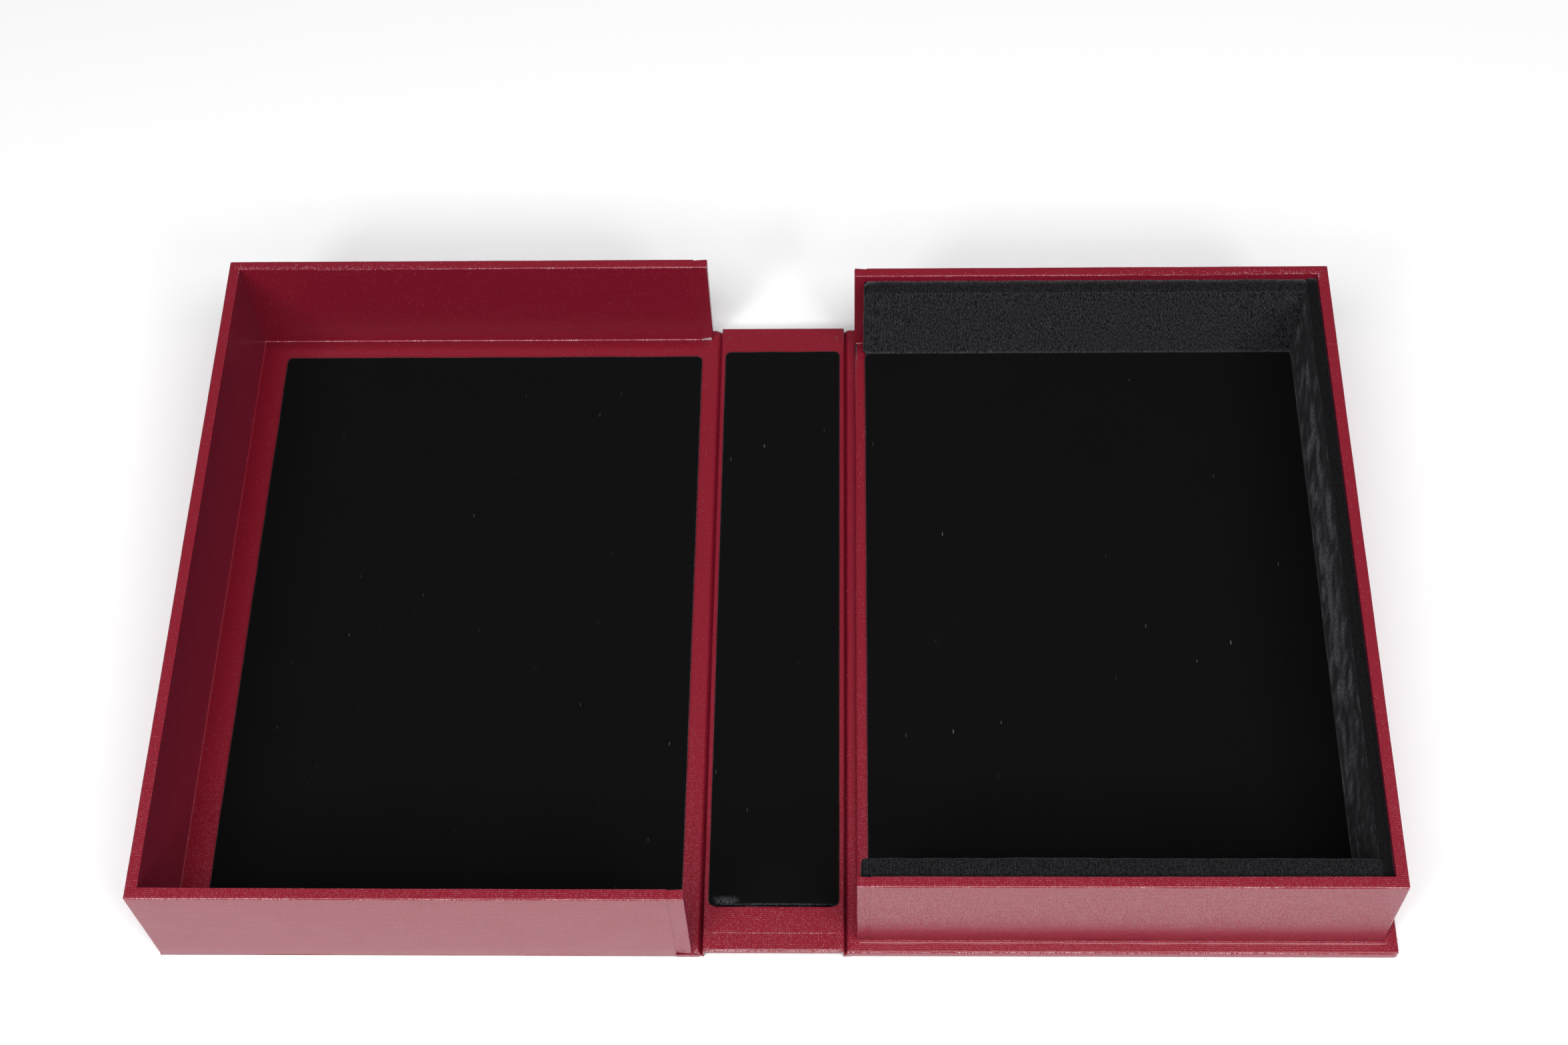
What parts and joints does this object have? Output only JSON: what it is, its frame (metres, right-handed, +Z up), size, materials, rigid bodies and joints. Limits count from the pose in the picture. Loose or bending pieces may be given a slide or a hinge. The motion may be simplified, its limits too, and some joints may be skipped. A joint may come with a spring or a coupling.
{
  "type": "clamshell book box",
  "caption": "Drop-spine clamshell box for a book, lying open: a large and a small three-walled tray joined by a folding spine panel, covered in red cloth and lined with black velvet.",
  "frame": {"origin": "centre of the open box's footprint, on the surface that it lies on", "axes": "+X runs from the large tray across the spine to the small tray, along the longest side; +Y runs from tail to head; +Z is up"},
  "size_m": [0.405, 0.25, 0.048],
  "materials": {
    "red_book_cloth": "deep red woven book cloth with a slight gloss",
    "black_velvet": "matte black velvet",
    "binders_board": "dense grey-brown binder's board",
    "lining_card": "smooth grey card"
  },
  "bodies": {
    "small_tray": {"cover_board": "binders_board", "cover_cloth": "red_book_cloth", "small_tray_base_board": "binders_board", "small_tray_head_board": "binders_board", "small_tray_tail_board": "binders_board", "small_tray_fore_edge_board": "binders_board", "small_tray_wall_cloth": "red_book_cloth", "small_tray_floor_cloth": "red_book_cloth", "small_tray_lining_card": "lining_card", "small_tray_lining_velvet": "black_velvet", "head_lining_board": "binders_board", "head_lining_velvet": "black_velvet", "tail_lining_board": "binders_board", "tail_lining_velvet": "black_velvet", "fore_edge_lining_board": "binders_board", "fore_edge_lining_velvet": "black_velvet", "cover_joint_outer_cloth": "red_book_cloth", "cover_joint_inner_cloth": "red_book_cloth"},
    "spine": {"spine_board": "binders_board", "spine_outer_cloth": "red_book_cloth", "spine_inner_cloth": "red_book_cloth", "spine_lining_card": "lining_card", "spine_lining_velvet": "black_velvet"},
    "large_tray": {"large_tray_base_board": "binders_board", "large_tray_head_board": "binders_board", "large_tray_tail_board": "binders_board", "large_tray_fore_edge_board": "binders_board", "large_tray_wall_cloth": "red_book_cloth", "large_tray_floor_cloth": "red_book_cloth", "large_tray_base_cloth": "red_book_cloth", "large_tray_lining_card": "lining_card", "large_tray_lining_velvet": "black_velvet", "large_tray_joint_outer_cloth": "red_book_cloth", "large_tray_joint_inner_cloth": "red_book_cloth"}
  },
  "joints": [
    {"name": "cover_joint", "type": "hinge", "parent": "small_tray", "child": "spine", "pos_m": [0.02305, 0, 0.003], "axis": [0, 1, 0], "range_deg": [0, 90], "deforming": ["cover_joint_outer_cloth", "cover_joint_inner_cloth"]},
    {"name": "large_tray_joint", "type": "hinge", "parent": "spine", "child": "large_tray", "pos_m": [-0.02305, 0, 0.003], "axis": [0, 1, 0], "range_deg": [0, 90], "deforming": ["large_tray_joint_outer_cloth", "large_tray_joint_inner_cloth"]}
  ]
}
